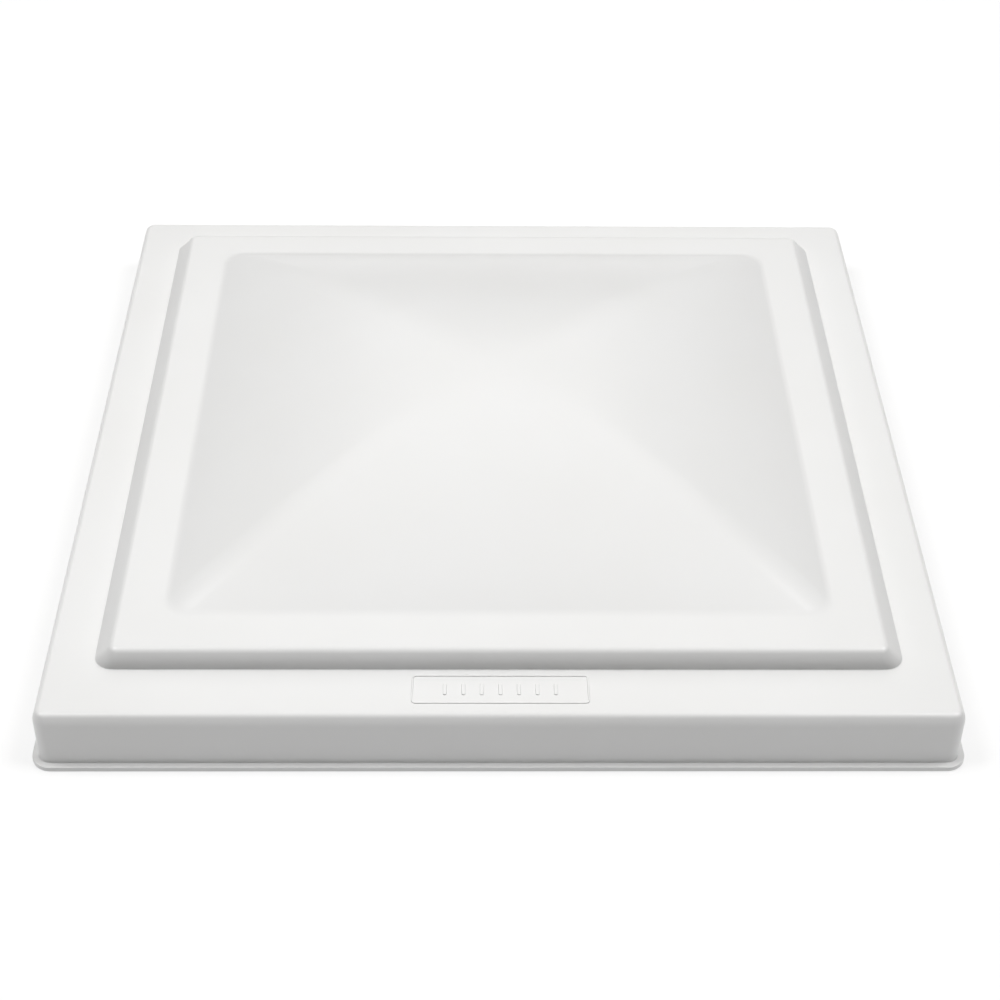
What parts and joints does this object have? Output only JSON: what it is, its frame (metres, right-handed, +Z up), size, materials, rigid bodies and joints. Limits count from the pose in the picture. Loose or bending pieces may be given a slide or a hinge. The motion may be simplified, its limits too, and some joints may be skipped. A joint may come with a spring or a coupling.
{
  "type": "roof vent lid",
  "caption": "Square moulded lid for a caravan roof vent, with a stepped panel and a low domed top, foam seals, a rear rod hinge and an underside track with a sliding bracket for the lift arm.",
  "frame": {"origin": "centre of the lid on the plane of its lip's underside", "axes": "+Z up through the lid, +Y towards the hinge, +X to the right seen from the front"},
  "size_m": [0.4064, 0.4354, 0.0703],
  "materials": {
    "lid_plastic": "glossy white UV-stabilised moulded plastic",
    "seal_foam": "matte black closed-cell EPDM foam",
    "track_steel": "galvanised sheet steel",
    "hinge_steel": "zinc-plated sheet steel",
    "fastener_steel": "zinc-plated steel",
    "rivet_metal": "bare aluminium",
    "nylon": "natural nylon",
    "stop_plastic": "black moulded nylon"
  },
  "bodies": {
    "lid": {"lid_shell": "lid_plastic", "seal_front": "seal_foam", "seal_rear": "seal_foam", "seal_left": "seal_foam", "seal_right": "seal_foam", "lift_track": "track_steel", "track_stop_front": "stop_plastic", "track_stop_rear": "stop_plastic", "track_screws": "fastener_steel", "track_washers": "fastener_steel", "hinge_leaf_lid": "hinge_steel", "hinge_pin": "fastener_steel", "hinge_pin_caps": "fastener_steel", "hinge_rivets": "rivet_metal", "rivet_washers": "rivet_metal"},
    "slider": {"slide_block": "nylon", "pivot_pin": "fastener_steel", "pivot_clips": "fastener_steel"},
    "lift_bracket": {"arm_bracket": "hinge_steel"},
    "hinge_base": {"hinge_leaf_base": "hinge_steel"}
  },
  "joints": [
    {"name": "lid_hinge", "type": "hinge", "parent": "lid", "child": "hinge_base", "pos_m": [0, 0.2072, 0.00328], "axis": [1, 0, 0], "range_deg": [0, 80]},
    {"name": "track_slide", "type": "slide", "parent": "lid", "child": "slider", "axis": [0, 1, 0], "range_m": [-0.0525, 0.0525]},
    {"name": "bracket_pivot", "type": "hinge", "parent": "slider", "child": "lift_bracket", "pos_m": [0, -0.025, 0.0245], "axis": [1, 0, 0], "range_deg": [-85, 35]}
  ]
}
